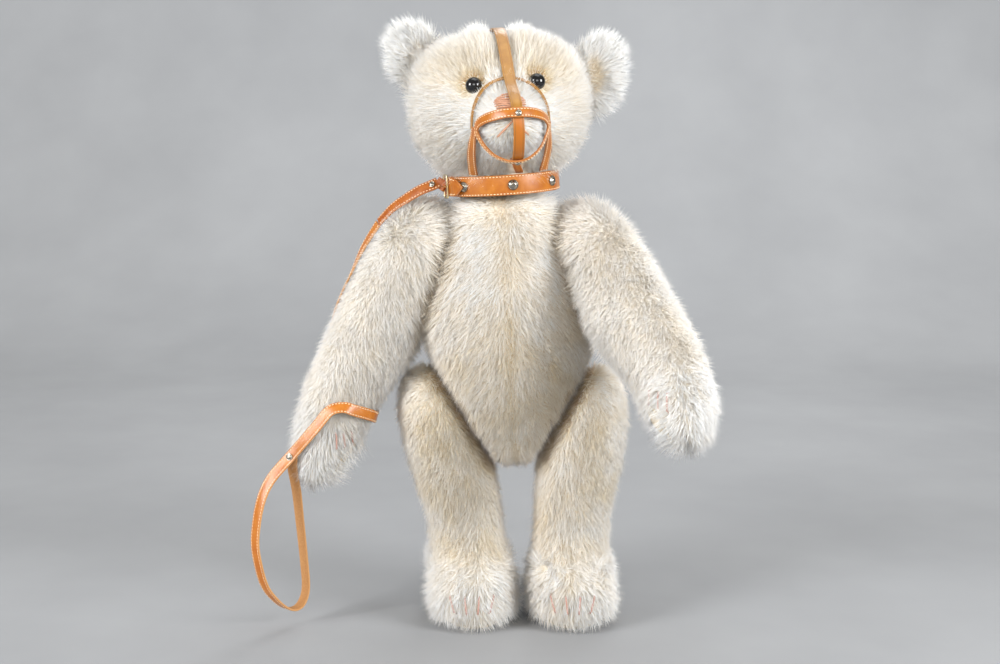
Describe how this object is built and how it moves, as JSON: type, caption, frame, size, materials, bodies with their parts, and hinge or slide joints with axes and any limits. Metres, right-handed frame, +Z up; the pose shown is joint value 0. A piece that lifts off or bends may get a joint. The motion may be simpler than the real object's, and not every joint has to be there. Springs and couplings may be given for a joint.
{
  "type": "teddy bear",
  "caption": "Standing jointed mohair teddy bear with a turning head, swinging arms and legs, a leather muzzle, a studded collar and a strap lead with a hand loop.",
  "frame": {"origin": "centre of the bear's bounding box on the floor, measured without the lead", "axes": "+Z up, -Y the way the bear faces, +X the bear's left"},
  "size_m": [0.4435, 0.2903, 0.5981],
  "materials": {
    "mohair": "long cream mohair pile on a woven backing",
    "stuffing": "firmly packed wood wool",
    "felt": "beige wool felt",
    "thread": "rust brown embroidery thread",
    "board": "pressed fibreboard",
    "card": "rolled and glued card",
    "steel": "plain wire",
    "iron": "as cast",
    "eye_glass": "black blown glass, polished",
    "leather": "smooth orange tan, semi gloss, stitched edges",
    "tan_leather": "smooth golden tan, semi gloss",
    "lead_leather": "smooth orange tan, pale flesh side, stitched edges",
    "bellows_leather": "thin soft sheepskin",
    "nickel": "polished nickel plate",
    "brass_wire": "pale brass wire"
  },
  "bodies": {
    "torso": {"torso_plush": "mohair", "torso_stuffing": "stuffing", "neck_inner_disc": "board", "neck_pin": "steel", "right_shoulder_inner_disc": "board", "right_shoulder_pin": "steel", "left_shoulder_inner_disc": "board", "left_shoulder_pin": "steel", "right_hip_inner_disc": "board", "right_hip_pin": "steel", "left_hip_inner_disc": "board", "left_hip_pin": "steel", "growler_case": "card", "growler_reed_board": "card", "growler_bellows": "bellows_leather"},
    "head": {"head_plush": "mohair", "head_stuffing": "stuffing", "neck_outer_disc": "board", "right_ear": "mohair", "left_ear": "mohair", "right_eye": "eye_glass", "left_eye": "eye_glass", "nose_stitching": "thread", "collar_band": "leather", "buckle_frame": "brass_wire", "buckle_prong": "brass_wire", "front_stud": "nickel", "left_stud": "nickel", "right_stud": "nickel", "head_strap": "tan_leather", "nose_strap": "tan_leather", "front_noseband": "leather", "rear_noseband": "leather", "right_cheek_strap": "leather", "left_cheek_strap": "leather", "chin_strap": "leather", "bridge_rivet": "nickel", "chin_rivet": "nickel", "lead_upper": "lead_leather", "lead_upper_rivet": "nickel"},
    "right_arm": {"right_arm_plush": "mohair", "right_arm_stuffing": "stuffing", "right_shoulder_outer_disc": "board", "right_paw_pad": "felt", "lead_lower": "lead_leather", "lead_lower_rivet": "nickel"},
    "left_arm": {"left_arm_plush": "mohair", "left_arm_stuffing": "stuffing", "left_shoulder_outer_disc": "board", "left_paw_pad": "felt"},
    "right_leg": {"right_leg_plush": "mohair", "right_leg_stuffing": "stuffing", "right_hip_outer_disc": "board", "right_sole_pad": "felt"},
    "left_leg": {"left_leg_plush": "mohair", "left_leg_stuffing": "stuffing", "left_hip_outer_disc": "board", "left_sole_pad": "felt"},
    "growler_weight": {"growler_weight": "iron"}
  },
  "joints": [
    {"name": "neck_turn", "type": "hinge", "parent": "torso", "child": "head", "pos_m": [0.00627, 0.057, 0.4333], "axis": [-0.061, 0, 0.9981], "range_deg": [-75, 75], "deforming": ["lead_upper"]},
    {"name": "right_shoulder_swing", "type": "hinge", "parent": "torso", "child": "right_arm", "pos_m": [-0.04932, 0.057, 0.378], "axis": [-0.9511, 0, 0.309], "range_deg": [-39, 91], "deforming": ["lead_lower"]},
    {"name": "left_shoulder_swing", "type": "hinge", "parent": "torso", "child": "left_arm", "pos_m": [0.06728, 0.057, 0.378], "axis": [-0.9511, 0, -0.309], "range_deg": [-26, 52]},
    {"name": "right_hip_swing", "type": "hinge", "parent": "torso", "child": "right_leg", "pos_m": [-0.03757, 0.057, 0.226], "axis": [-0.848, 0, -0.5299], "range_deg": [-20, 80]},
    {"name": "left_hip_swing", "type": "hinge", "parent": "torso", "child": "left_leg", "pos_m": [0.07043, 0.057, 0.226], "axis": [-0.848, 0, 0.5299], "range_deg": [-20, 80]},
    {"name": "growler_weight_slide", "type": "slide", "parent": "torso", "child": "growler_weight", "axis": [0, 0, 1], "range_m": [0, 0.016], "deforming": ["growler_bellows"]}
  ]
}
